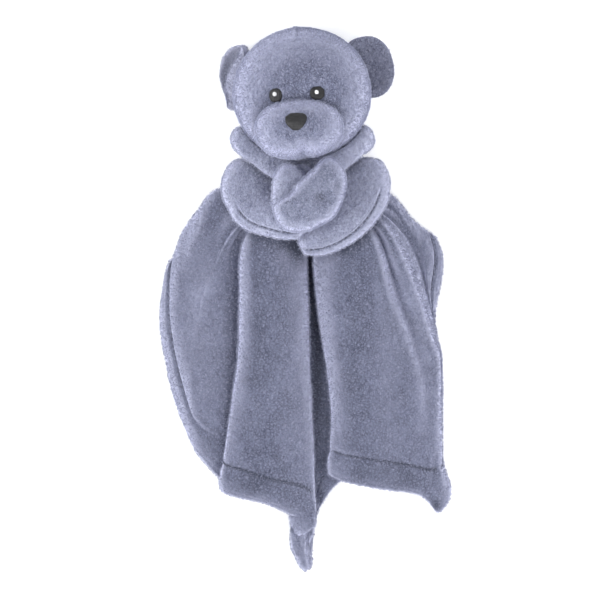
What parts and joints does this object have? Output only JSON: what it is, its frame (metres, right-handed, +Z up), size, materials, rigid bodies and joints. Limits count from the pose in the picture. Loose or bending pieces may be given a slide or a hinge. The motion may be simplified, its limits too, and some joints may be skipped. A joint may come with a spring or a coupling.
{
  "type": "comfort blanket lovey",
  "caption": "Plush bear head with ears, rolled collar, hugging arms and clasped paws on a square plush blanket gathered at the neck and laid out in soft folds.",
  "frame": {"origin": "on the table below the middle of the neck, on the flat underside of the blanket, with the toy lying on its back", "axes": "+Z up, out of the toy's front; +Y towards the top of the head; +X to the viewer's right"},
  "size_m": [0.1756, 0.3329, 0.0886],
  "materials": {
    "plush": "short-pile velour plush, grey-blue",
    "filling": "loose white fibre",
    "hem_thread": "sewing thread, a shade darker than the plush",
    "black_embroidery": "satin-stitched black thread",
    "white_embroidery": "satin-stitched white thread"
  },
  "bodies": {
    "root": {"blanket": "plush", "neck_gather": "plush", "neck_thread": "hem_thread", "neck_roll": "plush", "left_arm_skin": "plush", "left_arm_filling": "filling", "left_arm_thread": "hem_thread", "right_arm_skin": "plush", "right_arm_filling": "filling", "right_arm_thread": "hem_thread", "rear_paw_skin": "plush", "rear_paw_filling": "filling", "hem_thread_front_left": "hem_thread", "hem_thread_front_right": "hem_thread", "hem_thread_left": "hem_thread", "hem_thread_right": "hem_thread"},
    "neck": {"neck_disc": "plush"},
    "head": {"head_back_panel": "plush", "head_front_panel": "plush", "muzzle_panel": "plush", "head_filling": "filling", "left_eye": "black_embroidery", "right_eye": "black_embroidery", "left_eye_highlight": "white_embroidery", "right_eye_highlight": "white_embroidery", "nose": "black_embroidery"},
    "left_ear": {"left_ear_back": "plush", "left_ear_front": "plush"},
    "right_ear": {"right_ear_back": "plush", "right_ear_front": "plush"},
    "front_paw": {"front_paw_skin": "plush", "front_paw_filling": "filling"}
  },
  "joints": [
    {"name": "head_turn", "type": "hinge", "parent": "root", "child": "neck", "pos_m": [0.0012, 0.0478, 0.036], "axis": [-0.0785, 0.9969, 0], "range_deg": [-24, 36], "stiffness_Nm_per_rad": 0.02},
    {"name": "head_nod", "type": "hinge", "parent": "neck", "child": "head", "pos_m": [0.0012, 0.0478, 0.036], "axis": [-0.9915, -0.078, -0.1045], "range_deg": [0, 20], "stiffness_Nm_per_rad": 0.02},
    {"name": "left_ear_fold", "type": "hinge", "parent": "head", "child": "left_ear", "pos_m": [-0.03937, 0.05702, 0.0268], "axis": [0.2148, 0.9762, 0.0306], "range_deg": [-12, 30], "stiffness_Nm_per_rad": 0.004},
    {"name": "right_ear_fold", "type": "hinge", "parent": "head", "child": "right_ear", "pos_m": [0.04087, 0.06333, 0.03526], "axis": [0.3649, -0.9305, 0.0306], "range_deg": [-12, 30], "stiffness_Nm_per_rad": 0.004},
    {"name": "front_paw_lift", "type": "hinge", "parent": "root", "child": "front_paw", "pos_m": [0.022, -0.021, 0.047], "axis": [0.53, 0.848, 0], "range_deg": [0, 40], "stiffness_Nm_per_rad": 0.01}
  ]
}
